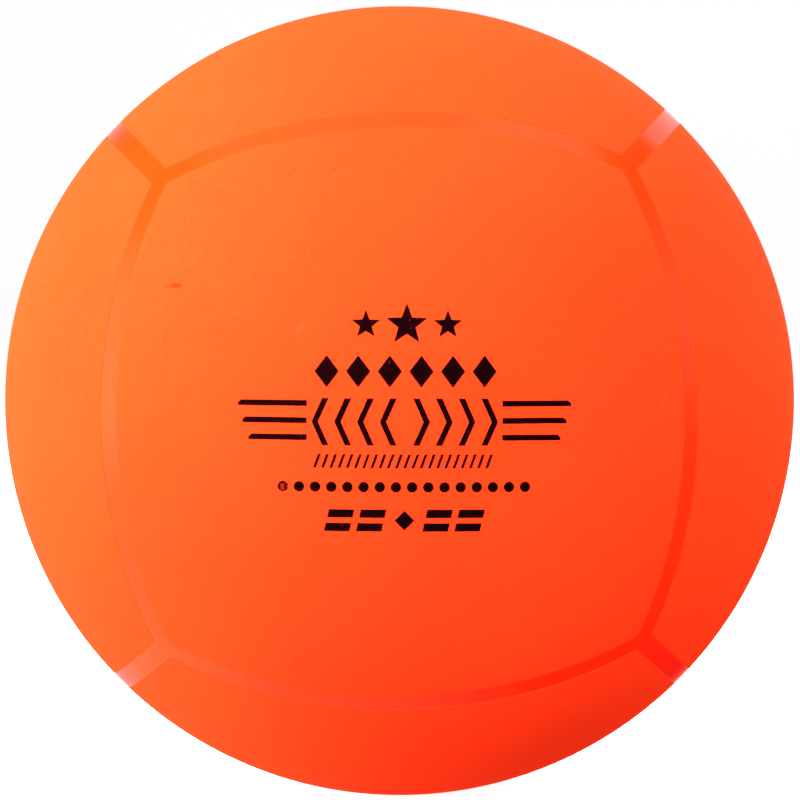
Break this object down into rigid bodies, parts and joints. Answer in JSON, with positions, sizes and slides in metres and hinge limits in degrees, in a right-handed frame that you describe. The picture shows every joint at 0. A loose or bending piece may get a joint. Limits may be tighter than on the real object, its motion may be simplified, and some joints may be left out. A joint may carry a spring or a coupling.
{
  "type": "moulded indoor ball",
  "caption": "Small inflated indoor ball with smooth matte panels parted by flush glossy seam strips, over a carcass and a bladder with a needle valve.",
  "frame": {"origin": "centre of the ball", "axes": "-Y out of the middle of the decorated panel, +Y out of the valve, +Z out of the middle of the panel above the decoration, +X out of the panel to its right"},
  "size_m": [0.152, 0.1517, 0.152],
  "materials": {
    "panel_rubber": "matte, fine sandblasted grain, fluorescent orange",
    "seam_rubber": "smooth and glossy, same fluorescent orange",
    "print_ink": "satin, near-black pad-printed ink",
    "carcass_rubber": "matte, pressed",
    "winding_thread": "wound nylon thread",
    "bladder_rubber": "smooth butyl rubber",
    "valve_rubber": "satin, soft moulded rubber"
  },
  "bodies": {
    "root": {"bladder": "bladder_rubber", "winding": "winding_thread", "carcass": "carcass_rubber", "valve_seat": "valve_rubber", "valve_plug": "valve_rubber", "panel_front": "panel_rubber", "panel_back": "panel_rubber", "panel_left": "panel_rubber", "panel_right": "panel_rubber", "panel_top": "panel_rubber", "panel_bottom": "panel_rubber", "seam_top_right": "seam_rubber", "seam_top_left": "seam_rubber", "seam_bottom_right": "seam_rubber", "seam_bottom_left": "seam_rubber", "seam_top_front": "seam_rubber", "seam_top_back": "seam_rubber", "seam_bottom_front": "seam_rubber", "seam_bottom_back": "seam_rubber", "seam_front_right": "seam_rubber", "seam_front_left": "seam_rubber", "seam_back_right": "seam_rubber", "seam_back_left": "seam_rubber"}
  },
  "joints": []
}
